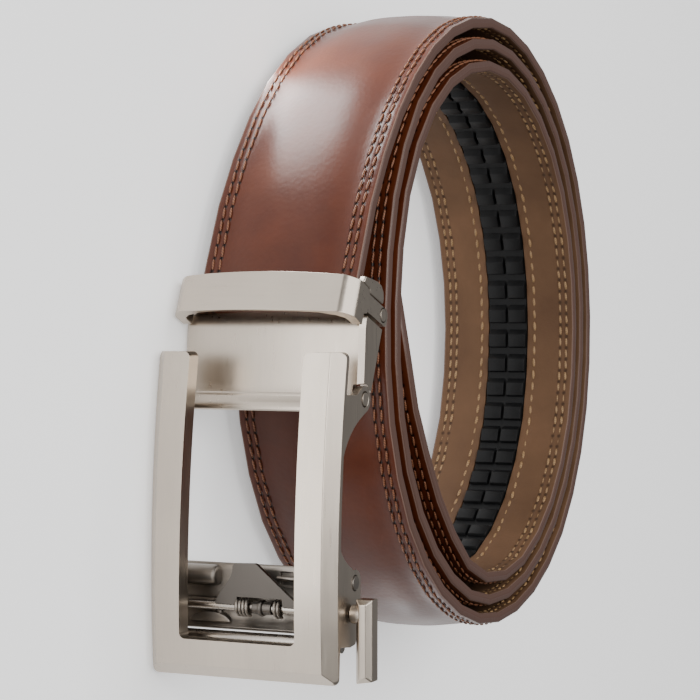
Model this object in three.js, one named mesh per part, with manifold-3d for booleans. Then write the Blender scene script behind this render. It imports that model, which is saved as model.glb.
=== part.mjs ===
// Ratchet belt: a padded leather strap rolled up on its side, with an automatic buckle at one end.
// Millimetres. +Z is up, across the strap's width. +X runs down the buckle to its free end.
// +Y runs from the buckle's face into the coil. The coil turns about an upright axis.
import * as THREE from 'three';
import { mergeVertices } from 'three/addons/utils/BufferGeometryUtils.js';
import Module from 'manifold-3d';

const wasm = await Module();
wasm.setup();

// Clearances
const seamGap = 0.25; // between pieces that lie on each other
const pinGap = 0.3; // round a pin in its hole
const sideGap = 0.3; // beside a moving ear or a seated end

// Strap
const strapWidth = 35;
const leatherEdge = 1.15; // leather at the stitched margins
const leatherCentre = 2.4; // leather over the padding
const liningThick = 1.0;
const tipLength = 31; // pointed end of the strap
const tipBlunt = 1.4; // half-width left at the very point
const marginWidth = 4.6; // flat margin that the stitches hold
const crownWidth = 15; // flat top of the padding

// Ratchet track
const trackWidth = 10;
const trackBase = 0.8; // strip under the teeth
const toothHeight = 1.3;
const toothPitch = 6.35;
const trackWrap = 4.0; // track's length in coil radii
const trackTipMargin = 54; // strap's pointed end to the first tooth

// Coil
const coilRadius = 68.5;
const turnGap = 1.55; // air between one turn's crown and the next turn's lining
const coilSteps = 132; // straight pieces that the turns are swept in
const eighthsToTip = 24.7; // eighths of a turn from the clip to the strap's point
// Each row is a direction seen from the coil's centre. reach is the outer turn's share of coilRadius.
// second, third and fourth are how far each next turn lies inside the last, in shares of a full step.
const coilShape = [
  { name: 'front', reach: 1.025, second: 2.42, third: 0.97, fourth: 0.8 },
  { name: 'upper front', reach: 0.962, second: 1.05, third: 1.0, fourth: 0.79 },
  { name: 'top', reach: 0.975, second: 0.92, third: 0.96 },
  { name: 'upper back', reach: 0.99, second: 1.0, third: 0.98 },
  { name: 'back', reach: 1.0, second: 1.04, third: 1.08 },
  { name: 'lower back', reach: 1.04, second: 1.04, third: 0.92 },
  { name: 'bottom', reach: 1.0, second: 0.84, third: 0.92 },
  { name: 'lower front', reach: 0.915, second: 0.98, third: 1.9 },
];

// Clip that holds the strap's outer end. It leans with the strap.
const clipTilt = THREE.MathUtils.degToRad(23.5);
const clipCentre = new THREE.Vector2(1, -52.9); // on the strap's seam, behind the bar
const clipAhead = 1.057; // clip's distance ahead of the coil's centre, in shares of coilRadius
const clipAbove = 0.073; // and above it
const strapIntoClip = 4.2; // strap end, past the clip's centre
const clipMouth = 3.4; // straight stretch of strap before the clip's centre
const clipInset = 0.4; // clip's side inside the frame's side
const cheekThick = 1.5;
const barTop = 0.8; // bar above the clip's centre
const barFoot = 7.0; // bar below it
const barFront = 7.45; // bar's face ahead of the strap's seam
const cheekBack = 0.3;
const earTop = 0.1;
const earFoot = 3.7;
const clampPinDown = 1.3; // clamp pin from the clip's centre
const clampPinBack = 7.85;
const clampPinRadius = 1.3;
const clampReach = 4.1; // top of the clamp above the clip's centre
const clampTooth = 0.7;
const clampWall = 1.7; // clamp's body behind its teeth
const clampBoss = 1.9; // clamp round its pin
const cheekLap = 0.9; // clamp's cheek over the strap's edge
const lugRadius = 2.3;
const lugThick = 1.4;

// Hinge plate between the clip and the frame
const plateTopX = 5.6;
const plateTopY = -55.5;
const plateFootX = 23.4;
const plateFootY = -58.3;
const plateThick = 1.5;
const plateWallTop = 8.8; // side wall's depth at the clip
const plateWallFoot = 6.0;
const plateFold = 2.3; // bevel between the plate's face and its walls

// Frame, open at the clip's end
const hingeX = 21.7;
const hingeY = -55.6;
const hingePinRadius = 1.4;
const hingePinLength = 5.5;
const windowHalf = 12.2;
const faceHalf = 17.9;
const frameTopX = 12.4;
const frameFootX = 76;
const windowFootX = 68.5;
const frameTopY = -67.5;
const frameFootY = -70.3;
const frameBow = 1.9; // how far the face swells ahead of a straight line
const frameThick = 3.6;
const footThick = 2.8;
const faceChamfer = 2.4;
const earRadius = 2.6;
const flangeThick = 1.8;
const strapPlay = 1.0; // strap's edge to the frame's side wall
const upperFlangeFootX = 40;
const lowerFlangeTopX = 47.5;
const flangeFootX = 69;

// Ratchet mechanism in the frame's foot
const axleX = 62.8;
const axleY = -62.2;
const axleRadius = 0.9;
const pawlTipX = 54;
const pawlTipLow = -4.7;
const pawlTipHigh = 0.6;
const pawlHeelHalf = 9.1;
const pawlThick = 1.0;
const pawlLean = 1.2; // tip ahead of the axle
const pawlNotchDepth = 2.2;
const pawlNotchLow = -3.6;
const pawlNotchHigh = 6.2;
const barrelWall = 0.8;
const springGap = 0.25;
const springWall = 0.8;
const springLow = { from: -3.2, to: -0.6 };
const springHigh = { from: 3.9, to: 5.9 };
const stubX = 57.1;
const stubY = -60.2;
const stubRadius = 1.4;
const stubLength = 9.5;
const backPlateTopX = 54.3;
const backPlateFootX = 66.5;
const backPlateY = -58.5;
const backPlateThick = 0.9;
const rollerX = 68.3;
const rollerY = -61.6;
const rollerRadius = 1.5;

// Release lever outside the frame
const leverGap = 2.0; // frame's side to the lever
const leverWidth = 2.7;
const leverDepth = 3.6;
const leverAbove = 3.4; // lever's top above the axle
const leverBelow = 12.2;
const leverPeak = 1.1;
const bossRadius = 1.9;

// Sizes that follow from those above
const strapHalf = strapWidth / 2;
const trackTeeth = Math.floor((trackWrap * coilRadius) / toothPitch);
const frameHalf = strapHalf + strapPlay + flangeThick;
const clipHalf = frameHalf - clipInset;
const coilCentre = new THREE.Vector2(
  clipCentre.x + clipAbove * coilRadius,
  clipCentre.y + clipAhead * coilRadius,
);
const turnStep = leatherCentre + liningThick + seamGap + turnGap;
const flangeInner = frameHalf - flangeThick;
const innerHalf = flangeInner - sideGap;
const lugOuter = clipHalf - cheekThick - sideGap;
const leverInner = frameHalf + leverGap;
const leverOuter = leverInner + leverWidth;

const leatherMaterial = { color: 0x8a5638, roughness: 0.45, metalness: 0 };
const liningMaterial = { color: 0x84664a, roughness: 0.75, metalness: 0 };
const trackMaterial = { color: 0x232426, roughness: 0.5, metalness: 0 };
const satinMaterial = { color: 0xbdb6ad, roughness: 0.35, metalness: 1 };
const steelMaterial = { color: 0x8c8681, roughness: 0.3, metalness: 1 };

function named(name, geometry, material) {
  const mesh = new THREE.Mesh(geometry, new THREE.MeshStandardMaterial(material));
  mesh.name = name;
  return mesh;
}

function toSolid(geometry) {
  const bare = geometry.index ? geometry.toNonIndexed() : geometry.clone();
  bare.deleteAttribute('normal');
  bare.deleteAttribute('uv');
  const merged = mergeVertices(bare, 1e-4);
  const mesh = new wasm.Mesh({
    numProp: 3,
    vertProperties: new Float32Array(merged.attributes.position.array),
    triVerts: new Uint32Array(merged.index.array),
  });
  return new wasm.Manifold(mesh);
}

function toGeometry(solid) {
  const mesh = solid.getMesh();
  const geometry = new THREE.BufferGeometry();
  geometry.setAttribute('position', new THREE.BufferAttribute(new Float32Array(mesh.vertProperties), 3));
  geometry.setIndex(new THREE.BufferAttribute(new Uint32Array(mesh.triVerts), 1));
  geometry.computeVertexNormals();
  return geometry;
}

function join(...geometries) {
  return toGeometry(geometries.map(toSolid).reduce((whole, next) => whole.add(next)));
}

function cut(geometry, ...tools) {
  return toGeometry(tools.map(toSolid).reduce((whole, tool) => whole.subtract(tool), toSolid(geometry)));
}

// A side profile in X and Y, carried across the width from one Z to another.
function slab(profile, fromZ, toZ) {
  const shape = profile instanceof THREE.Shape ? profile : new THREE.Shape(profile);
  const geometry = new THREE.ExtrudeGeometry(shape, {
    depth: toZ - fromZ,
    bevelEnabled: false,
    curveSegments: 10,
  });
  return geometry.translate(0, 0, fromZ);
}

// A round pin along Z.
function pin(x, y, radius, fromZ, toZ, sides = 20) {
  const geometry = new THREE.CylinderGeometry(radius, radius, toZ - fromZ, sides);
  return geometry.rotateX(Math.PI / 2).translate(x, y, (fromZ + toZ) / 2);
}

// A closed ring of wall round a pin along Z.
function collar(x, y, inner, outer, fromZ, toZ) {
  const half = (toZ - fromZ) / 2;
  const profile = [
    new THREE.Vector2(inner, -half),
    new THREE.Vector2(outer, -half),
    new THREE.Vector2(outer, half),
    new THREE.Vector2(inner, half),
    new THREE.Vector2(inner, -half),
  ];
  return new THREE.LatheGeometry(profile, 18).rotateX(Math.PI / 2).translate(x, y, (fromZ + toZ) / 2);
}

// A closed solid through rings of points that all have the same count.
function loft(rings) {
  const count = rings[0].length;
  const points = rings.flat();
  const index = [];
  for (let r = 0; r + 1 < rings.length; r += 1) {
    for (let p = 0; p < count; p += 1) {
      const a = r * count + p;
      const b = r * count + ((p + 1) % count);
      index.push(a, b, b + count, a, b + count, a + count);
    }
  }
  const last = (rings.length - 1) * count;
  for (let p = 1; p + 1 < count; p += 1) {
    index.push(0, p + 1, p);
    index.push(last, last + p, last + p + 1);
  }
  const geometry = new THREE.BufferGeometry().setFromPoints(points);
  geometry.setIndex(index);
  const solid = toSolid(geometry);
  if (solid.volume() < 0) {
    geometry.setIndex(index.map((value, i) => index[i - (i % 3) + 2 - (i % 3)]));
  }
  geometry.computeVertexNormals();
  return geometry;
}

// Points of the clip, given down the strap and back from its seam.
function clipPoint(down, back) {
  const along = new THREE.Vector2(Math.cos(clipTilt), -Math.sin(clipTilt));
  const inward = new THREE.Vector2(Math.sin(clipTilt), Math.cos(clipTilt));
  return clipCentre.clone().addScaledVector(along, down).addScaledVector(inward, back);
}

function clipProfile(...pairs) {
  return pairs.map(([down, back]) => clipPoint(down, back));
}

// Distance of the seam from the coil's centre at each eighth of a turn.
function coilReaches() {
  const outer = coilShape.map((row) => row.reach * coilRadius);
  const middle = coilShape.map((row, i) => outer[i] - row.second * turnStep);
  const inner = coilShape.map((row, i) => middle[i] - row.third * turnStep);
  const innermost = [0, 1].map((i) => inner[i] - coilShape[i].fourth * turnStep);
  return [...outer, ...middle, ...inner, ...innermost];
}

// The seam between leather and lining, from the clip to the tip.
function seamCurve() {
  const reaches = coilReaches();
  const spiral = new THREE.SplineCurve(reaches.map((reach, i) => new THREE.Vector2(i, reach)));
  const points = [clipPoint(strapIntoClip, 0), clipPoint(0, 0), clipPoint(-clipMouth, 0)];
  const last = reaches.length - 1;
  const knots = Math.round(eighthsToTip * 2);
  for (let knot = 1; knot <= knots; knot += 1) {
    const eighths = (eighthsToTip * knot) / knots;
    const reach = spiral.getPoint(eighths / last).y;
    const angle = eighths * (Math.PI / 4);
    points.push(new THREE.Vector2(
      coilCentre.x - reach * Math.sin(angle),
      coilCentre.y - reach * Math.cos(angle),
    ));
  }
  const knotsInSpace = points.map((p) => new THREE.Vector3(p.x, p.y, 0));
  return new THREE.CatmullRomCurve3(knotsInSpace, false, 'centripetal');
}

const seam = seamCurve();
const seamLength = seam.getLength();

// A stretch of the seam, so that a band can be swept along part of it.
class SeamStretch extends THREE.Curve {
  constructor(from, to) {
    super();
    this.from = from;
    this.to = to;
  }

  getPoint(t, target = new THREE.Vector3()) {
    const distance = this.from + (this.to - this.from) * t;
    return seam.getPointAt(Math.min(distance / seamLength, 1), target);
  }
}

// A band along the seam. The section's first number is across the strap, the second is outward.
function band(section, from, to, steps) {
  const shape = new THREE.Shape(section.map(([across, outward]) => new THREE.Vector2(across, outward)));
  return new THREE.ExtrudeGeometry(shape, { steps, extrudePath: new SeamStretch(from, to) });
}

// A point beside the seam at a distance along it.
function besideSeam(distance, outward) {
  const at = Math.min(distance / seamLength, 1);
  const point = seam.getPointAt(at);
  const tangent = seam.getTangentAt(at);
  return new THREE.Vector2(point.x - tangent.y * outward, point.y + tangent.x * outward);
}

// Blocks beside the strap's last stretch that leave it a rounded point.
function besidePoint() {
  const rings = 10;
  const inner = -liningThick - seamGap;
  const outer = leatherCentre + seamGap;
  return [-1, 1].map((side) => loft(Array.from({ length: rings + 1 }, (_, ring) => {
    const share = ring / rings;
    const distance = seamLength - tipLength * (1 - share * 1.05);
    const half = Math.max(strapHalf * (1 - share * share), tipBlunt);
    const place = (across, outward) => {
      const point = besideSeam(distance, outward);
      return new THREE.Vector3(point.x, point.y, side * across);
    };
    const clear = strapHalf + marginWidth;
    return [place(half, inner), place(clear, inner), place(clear, outer), place(half, outer)];
  })));
}

function strapLeather() {
  const base = seamGap / 2;
  const edge = base + leatherEdge;
  const crown = base + leatherCentre;
  const slope = (strapHalf - marginWidth + crownWidth / 2) / 2;
  const rise = edge + (crown - edge) * 0.7;
  const whole = band([
    [-strapHalf, base],
    [strapHalf, base],
    [strapHalf, edge],
    [strapHalf - marginWidth, edge],
    [slope, rise],
    [crownWidth / 2, crown],
    [-crownWidth / 2, crown],
    [-slope, rise],
    [-strapHalf + marginWidth, edge],
    [-strapHalf, edge],
  ], 0, seamLength, coilSteps);
  return cut(whole, ...besidePoint());
}

function rectangle(half, low, high) {
  return [[-half, low], [half, low], [half, high], [-half, high]];
}

const trackEnd = seamLength - trackTipMargin;
const trackStart = trackEnd - trackTeeth * toothPitch;

function strapLining() {
  const outer = -seamGap / 2;
  const inner = outer - liningThick;
  const sheet = band(rectangle(strapHalf, inner, outer), 0, seamLength, coilSteps);
  const slotSteps = Math.round(trackTeeth / 1.5);
  const slot = band(
    rectangle(trackWidth / 2 + seamGap, inner - toothHeight, outer + liningThick),
    trackStart - seamGap,
    trackEnd + seamGap,
    slotSteps,
  );
  return cut(sheet, slot, ...besidePoint());
}

// Saw teeth on a strip, drawn as one side profile along the seam.
function ratchetTrack() {
  const back = -seamGap * 2;
  const floor = back - trackBase;
  const crest = floor - toothHeight;
  const backSide = [];
  const toothSide = [];
  for (let tooth = 0; tooth < trackTeeth; tooth += 1) {
    const start = trackStart + tooth * toothPitch;
    toothSide.push(besideSeam(start, floor));
    toothSide.push(besideSeam(start + toothPitch * 0.22, crest));
    toothSide.push(besideSeam(start + toothPitch * 0.86, crest + toothHeight * 0.25));
    toothSide.push(besideSeam(start + toothPitch * 0.88, floor));
    backSide.push(besideSeam(start, back));
  }
  toothSide.push(besideSeam(trackEnd, floor));
  backSide.push(besideSeam(trackEnd, back));
  return slab([...backSide, ...toothSide.reverse()], -trackWidth / 2, trackWidth / 2);
}

// Bar across the strap's face, with a cheek and an ear at each side that reach back to the clamp pin.
function clipBar() {
  const strapFace = seamGap / 2 + leatherCentre + seamGap;
  const lipBack = 0.9;
  const body = slab(clipProfile(
    [-barTop + 0.9, -barFront],
    [barFoot - 0.7, -barFront],
    [barFoot, -barFront + 0.9],
    [barFoot, -lipBack],
    [strapIntoClip + 1.1, -lipBack],
    [strapIntoClip + 0.6, -strapFace],
    [-barTop, -strapFace],
    [-barTop, -barFront + 1.1],
  ), -clipHalf, clipHalf);
  const cheek = clipProfile(
    [-barTop, -strapFace - 1],
    [barFoot - 1.3, -strapFace - 1],
    [earFoot + 0.5, cheekBack],
    [earFoot, cheekBack + 0.3],
    [earFoot - 0.5, clampPinBack + clampPinRadius * 1.2],
    [earTop + 0.4, clampPinBack + clampPinRadius * 1.7],
    [earTop - 0.4, clampPinBack + clampPinRadius * 0.7],
    [earTop, cheekBack],
    [-barTop, cheekBack - 0.6],
  );
  const pinAt = clipPoint(clampPinDown, clampPinBack);
  const low = slab(cheek, -clipHalf, -clipHalf + cheekThick);
  const high = slab(cheek, clipHalf - cheekThick, clipHalf);
  const hole = pin(pinAt.x, pinAt.y, clampPinRadius + pinGap, -clipHalf - 1, clipHalf + 1);
  return cut(join(body, low, high), hole);
}

// Clamp behind the strap, turning on the clamp pin. Its toothed edge bites the lining.
function strapClamp() {
  const bite = seamGap / 2 + liningThick + seamGap;
  const arm = clipProfile(
    [-clampReach * 0.78, bite + clampTooth],
    [-clampReach * 0.63, bite],
    [-clampReach * 0.49, bite + clampTooth],
    [-clampReach * 0.34, bite],
    [-clampReach * 0.2, bite + clampTooth],
    [clampPinDown * 1.3, bite + clampTooth * 1.7],
    [clampPinDown + clampBoss, clampPinBack - clampBoss * 0.6],
    [clampPinDown + clampBoss, clampPinBack + clampBoss * 0.6],
    [clampPinDown, clampPinBack + clampBoss],
    [-clampReach * 0.46, clampPinBack * 0.95],
    [-clampReach, clampPinBack * 0.67],
    [-clampReach * 0.95, bite + clampWall],
  );
  const cheek = clipProfile(
    [-clampReach * 0.71, -cheekLap],
    [-barTop - seamGap, -cheekLap * 0.8],
    [-barTop - seamGap, cheekBack * 0.3],
    [earTop - seamGap * 1.4, cheekBack + seamGap * 1.8],
    [earTop - seamGap * 3.4, clampPinBack * 0.92],
    [-clampReach * 0.61, clampPinBack * 0.85],
    [-clampReach * 0.93, clampPinBack * 0.64],
  );
  const bridgeBack = clampPinBack - lugRadius - seamGap;
  const bridge = clipProfile(
    [-clampReach * 0.85, bite + clampWall],
    [earTop - seamGap * 2, bite + clampWall],
    [earTop - seamGap * 3, bridgeBack],
    [-clampReach * 0.85, bridgeBack],
  );
  const pinAt = clipPoint(clampPinDown, clampPinBack);
  const half = lugOuter - lugThick - sideGap;
  const hole = pin(pinAt.x, pinAt.y, clampPinRadius + pinGap, -clipHalf - 1, clipHalf + 1);
  return cut(join(
    slab(arm, -half, half),
    slab(bridge, -clipHalf, clipHalf),
    slab(cheek, -clipHalf, -clipHalf + cheekThick),
    slab(cheek, clipHalf - cheekThick, clipHalf),
  ), hole);
}

// Plate that the frame hinges on. Its edges fold back into tapered walls.
// Two lugs sit on the clamp pin.
function hingePlate() {
  const pinAt = clipPoint(clampPinDown, clampPinBack);
  const topX = clipPoint(barFoot + seamGap, -0.9).x;
  const wallFootX = hingeX - earRadius - 1.1;
  const faceY = (x) => plateTopY + ((plateFootY - plateTopY) * (x - plateTopX)) / (plateFootX - plateTopX);
  const foldHalf = clipHalf - plateFold;
  const face = slab([
    new THREE.Vector2(topX, faceY(topX)),
    new THREE.Vector2(wallFootX, faceY(wallFootX)),
    new THREE.Vector2(wallFootX, faceY(wallFootX) + plateThick),
    new THREE.Vector2(topX, faceY(topX) + plateThick),
  ], -foldHalf, foldHalf);
  const tongue = slab([
    new THREE.Vector2(wallFootX - 0.6, faceY(wallFootX - 0.6)),
    new THREE.Vector2(plateFootX, plateFootY),
    new THREE.Vector2(plateFootX, hingeY - hingePinRadius),
    new THREE.Vector2(wallFootX - 0.6, faceY(wallFootX - 0.6) + plateThick),
  ], -foldHalf, foldHalf);
  const barrel = pin(hingeX, hingeY, hingePinRadius + pinGap + 0.9, -innerHalf, innerHalf);
  const fold = (side) => loft([topX, wallFootX].map((x) => [
    new THREE.Vector3(x, faceY(x), side * (foldHalf - 0.6)),
    new THREE.Vector3(x, faceY(x), side * foldHalf),
    new THREE.Vector3(x, faceY(x) + plateFold, side * clipHalf),
    new THREE.Vector3(x, faceY(x) + plateFold + 0.9, side * clipHalf),
    new THREE.Vector3(x, faceY(x) + plateFold + 0.9, side * (clipHalf - cheekThick)),
    new THREE.Vector3(x, faceY(x) + plateThick, side * (foldHalf - 0.6)),
  ]));
  const wall = [
    new THREE.Vector2(topX, faceY(topX) + plateFold),
    new THREE.Vector2(wallFootX, faceY(wallFootX) + plateFold),
    new THREE.Vector2(wallFootX + 0.8, faceY(wallFootX) + plateWallFoot),
    new THREE.Vector2(topX + 1.0, faceY(topX) + plateWallTop),
    new THREE.Vector2(topX + 0.4, faceY(topX) + plateWallTop - 0.6),
  ];
  const lug = clipProfile(
    [clampPinDown * 1.4, clampPinBack - lugRadius],
    [barFoot * 1.28, clampPinBack * 0.13],
    [barFoot * 1.36, clampPinBack - lugRadius],
    [clampPinDown * 1.4, clampPinBack + lugRadius],
  );
  const filler = [
    new THREE.Vector2(topX + plateFold * 0.35, faceY(topX) + plateThick * 0.6),
    new THREE.Vector2(topX + plateFold * 2.2, faceY(topX + plateFold * 2.2) + plateThick * 0.6),
    new THREE.Vector2(topX + plateFold * 2.2, faceY(topX) + plateWallFoot),
    new THREE.Vector2(topX + plateFold * 0.5, faceY(topX) + plateWallFoot),
  ];
  const pieces = [face, tongue, barrel];
  for (const side of [-1, 1]) {
    const across = (from, to) => [Math.min(side * from, side * to), Math.max(side * from, side * to)];
    pieces.push(fold(side));
    pieces.push(slab(wall, ...across(clipHalf - cheekThick, clipHalf)));
    pieces.push(slab(lug, ...across(lugOuter - lugThick, lugOuter)));
    pieces.push(slab(filler, ...across(lugOuter - lugThick, clipHalf - 0.5)));
    pieces.push(pin(pinAt.x, pinAt.y, lugRadius, ...across(lugOuter - lugThick, lugOuter)));
  }
  return cut(
    join(...pieces),
    pin(hingeX, hingeY, hingePinRadius + pinGap, -clipHalf - 1, clipHalf + 1),
    pin(pinAt.x, pinAt.y, clampPinRadius + pinGap, -clipHalf - 1, clipHalf + 1),
  );
}

// Y of the frame's bowed face at a distance down it.
function frontY(x) {
  const share = THREE.MathUtils.clamp((x - frameTopX) / (frameFootX - frameTopX), 0, 1);
  return THREE.MathUtils.lerp(frameTopY, frameFootY, share) - frameBow * 4 * share * (1 - share);
}

function frameArm(side) {
  const rings = [];
  const topChamfer = 1.2;
  const addRing = (x, setBack, edgeBack) => {
    const face = frontY(x) + setBack;
    const back = frontY(x) + frameThick;
    rings.push([
      new THREE.Vector3(x, back, side * windowHalf),
      new THREE.Vector3(x, face, side * windowHalf),
      new THREE.Vector3(x, face, side * faceHalf),
      new THREE.Vector3(x, Math.min(face + edgeBack, back - 0.2), side * frameHalf),
      new THREE.Vector3(x, back, side * frameHalf),
    ]);
  };
  addRing(frameTopX, topChamfer, faceChamfer - topChamfer);
  const full = frameTopX + topChamfer;
  const footFull = frameFootX - faceChamfer;
  const steps = 8;
  for (let step = 0; step <= steps; step += 1) {
    addRing(full + ((footFull - full) * step) / steps, 0, faceChamfer);
  }
  addRing(frameFootX, faceChamfer, 0.2);
  return loft(rings);
}

function frameFoot() {
  const ring = (z) => [
    new THREE.Vector3(windowFootX, frontY(windowFootX) + footThick, z),
    new THREE.Vector3(windowFootX, frontY(windowFootX), z),
    new THREE.Vector3(frameFootX - faceChamfer, frontY(frameFootX - faceChamfer), z),
    new THREE.Vector3(frameFootX, frontY(frameFootX) + faceChamfer, z),
    new THREE.Vector3(frameFootX, frontY(frameFootX) + footThick, z),
  ];
  return loft([ring(-faceHalf), ring(faceHalf)]);
}

// Ear for the hinge pin, running forward into the arm.
function upperFlange() {
  const shape = new THREE.Shape();
  const inArm = frameThick / 2;
  shape.moveTo(hingeX - earRadius - 0.3, frontY(hingeX - earRadius) + inArm);
  shape.lineTo(hingeX - earRadius, hingeY - 1);
  shape.absarc(hingeX, hingeY, earRadius, Math.PI, Math.PI * 0.12, true);
  shape.bezierCurveTo(
    hingeX + earRadius * 1.6, hingeY - earRadius * 1.2,
    hingeX + earRadius * 2.5, frontY(hingeX + earRadius * 3) + frameThick,
    upperFlangeFootX, frontY(upperFlangeFootX) + inArm,
  );
  return shape;
}

// Side wall that carries the axle, the stubs, the roller and the back plate.
function lowerFlange() {
  const shape = new THREE.Shape();
  const inArm = frameThick / 2;
  shape.moveTo(lowerFlangeTopX, frontY(lowerFlangeTopX) + inArm);
  shape.bezierCurveTo(
    lowerFlangeTopX + earRadius * 1.5, frontY(lowerFlangeTopX) + frameThick * 1.17,
    stubX - earRadius * 1.5, stubY - earRadius * 1.4,
    stubX - earRadius, stubY - earRadius * 0.3,
  );
  shape.absarc(stubX, stubY, earRadius, Math.PI, Math.PI * 0.5, true);
  shape.lineTo(axleX + axleRadius * 1.8, stubY + earRadius * 0.92);
  shape.lineTo(flangeFootX, rollerY + rollerRadius * 0.87);
  shape.lineTo(flangeFootX, frontY(flangeFootX) + inArm);
  return shape;
}

function buckleFrame() {
  const flanges = [upperFlange(), lowerFlange()].flatMap((shape) => [
    slab(shape, -frameHalf, -flangeInner),
    slab(shape, flangeInner, frameHalf),
  ]);
  const reach = frameHalf + 1;
  return cut(
    join(frameArm(-1), frameArm(1), frameFoot(), ...flanges),
    pin(hingeX, hingeY, hingePinRadius + pinGap, -reach, reach),
    pin(stubX, stubY, stubRadius + pinGap, -reach, reach),
    pin(axleX, axleY, axleRadius + pinGap, -reach, reach),
  );
}

// Plate behind the pawl, folded forward at its foot.
function backPlate() {
  const rear = backPlateY + backPlateThick;
  const lip = 2.4;
  return slab([
    new THREE.Vector2(backPlateTopX, backPlateY),
    new THREE.Vector2(backPlateFootX - backPlateThick, backPlateY),
    new THREE.Vector2(backPlateFootX - backPlateThick, backPlateY - lip),
    new THREE.Vector2(backPlateFootX, backPlateY - lip),
    new THREE.Vector2(backPlateFootX, rear),
    new THREE.Vector2(backPlateTopX, rear),
  ].reverse(), -innerHalf, innerHalf);
}

// Pawl: a flared blade on two barrels that turn with the axle, notched for the springs.
function pawl() {
  const heelX = axleX - axleRadius - pinGap;
  const outline = new THREE.Shape([
    new THREE.Vector2(pawlTipX, pawlTipLow),
    new THREE.Vector2(pawlTipX, pawlTipHigh),
    new THREE.Vector2(heelX, pawlHeelHalf),
    new THREE.Vector2(heelX, pawlNotchHigh),
    new THREE.Vector2(heelX - pawlNotchDepth, pawlNotchHigh),
    new THREE.Vector2(heelX - pawlNotchDepth, pawlNotchLow),
    new THREE.Vector2(heelX, pawlNotchLow),
    new THREE.Vector2(heelX, -pawlHeelHalf),
    new THREE.Vector2(pawlTipX * 0.55 + heelX * 0.45, -pawlHeelHalf * 0.62),
  ]);
  const blade = new THREE.ExtrudeGeometry(outline, { depth: pawlThick, bevelEnabled: false });
  const lean = Math.atan2(pawlLean, heelX - pawlTipX);
  blade.rotateX(Math.PI / 2).translate(-heelX, pawlThick / 2, 0).rotateZ(lean).translate(heelX, axleY, 0);
  const wall = axleRadius + pinGap + barrelWall;
  const inner = axleRadius + pinGap;
  const low = pin(axleX, axleY, wall, -pawlHeelHalf, pawlNotchLow - 0.2);
  const high = pin(axleX, axleY, wall, pawlNotchHigh + 0.2, pawlHeelHalf);
  const bore = pin(axleX, axleY, inner, -frameHalf, frameHalf);
  return cut(join(blade, low, high), bore);
}

// Lever bar with a slanted top and a ridge along its outer edge, on a boss round the axle.
function releaseLever() {
  const front = axleY - leverDepth / 2;
  const back = axleY + leverDepth / 2;
  const top = axleX - leverAbove;
  const foot = axleX + leverBelow;
  const bar = slab([
    new THREE.Vector2(top + leverPeak, front),
    new THREE.Vector2(top, axleY),
    new THREE.Vector2(top + leverPeak * 1.3, back),
    new THREE.Vector2(foot - 0.6, back),
    new THREE.Vector2(foot, front + 0.5),
    new THREE.Vector2(foot - 0.5, front),
  ].reverse(), leverInner, leverOuter);
  const boss = pin(axleX, axleY, bossRadius, frameHalf + sideGap, leverInner + 0.5);
  const bore = pin(axleX, axleY, axleRadius + pinGap, frameHalf - 1, leverInner + leverWidth * 0.6);
  return cut(join(bar, boss), bore);
}

const strap = new THREE.Group();
strap.add(named('strap_leather', strapLeather(), leatherMaterial));
strap.add(named('strap_lining', strapLining(), liningMaterial));
strap.add(named('ratchet_track', ratchetTrack(), trackMaterial));

const clip = new THREE.Group();
const clampPinAt = clipPoint(clampPinDown, clampPinBack);
clip.add(named('clip_bar', clipBar(), satinMaterial));
clip.add(named('strap_clamp', strapClamp(), satinMaterial));
clip.add(named('hinge_plate', hingePlate(), satinMaterial));
clip.add(named(
  'clamp_pin',
  pin(clampPinAt.x, clampPinAt.y, clampPinRadius, -clipHalf - 0.2, clipHalf + 0.2),
  steelMaterial,
));
for (const [name, side] of [['hinge_pin_low', -1], ['hinge_pin_high', 1]]) {
  const outer = side * (frameHalf + 0.2);
  const inner = outer - side * hingePinLength;
  clip.add(named(
    name,
    pin(hingeX, hingeY, hingePinRadius, Math.min(inner, outer), Math.max(inner, outer)),
    steelMaterial,
  ));
}

const frame = new THREE.Group();
frame.add(named('buckle_frame', buckleFrame(), satinMaterial));
frame.add(named('back_plate', backPlate(), steelMaterial));
frame.add(named('roller_bar', pin(rollerX, rollerY, rollerRadius, -innerHalf, innerHalf), steelMaterial));
for (const [name, side] of [['stub_pin_low', -1], ['stub_pin_high', 1]]) {
  const outer = side * (frameHalf + 0.2);
  const inner = outer - side * stubLength;
  frame.add(named(
    name,
    pin(stubX, stubY, stubRadius, Math.min(inner, outer), Math.max(inner, outer)),
    steelMaterial,
  ));
}
for (const [name, place] of [['spring_low', springLow], ['spring_high', springHigh]]) {
  const inner = axleRadius + springGap;
  frame.add(named(
    name,
    collar(axleX, axleY, inner, inner + springWall, place.from, place.to),
    steelMaterial,
  ));
}

const release = new THREE.Group();
release.add(named('pawl', pawl(), steelMaterial));
release.add(named(
  'release_axle',
  pin(axleX, axleY, axleRadius, -frameHalf, leverInner + leverWidth * 0.6 - sideGap),
  steelMaterial,
));
release.add(named('release_lever', releaseLever(), satinMaterial));

const belt = new THREE.Group();
belt.add(strap, clip, frame, release);

// The belt stands on its lowest side, with its middle over the origin.
const size = new THREE.Box3().setFromObject(belt);
const middle = size.getCenter(new THREE.Vector3());
belt.position.set(-middle.x, -middle.y, -size.min.z);

export default belt;
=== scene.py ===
import math

import bmesh
import bpy
from mathutils import Matrix, Vector


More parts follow.
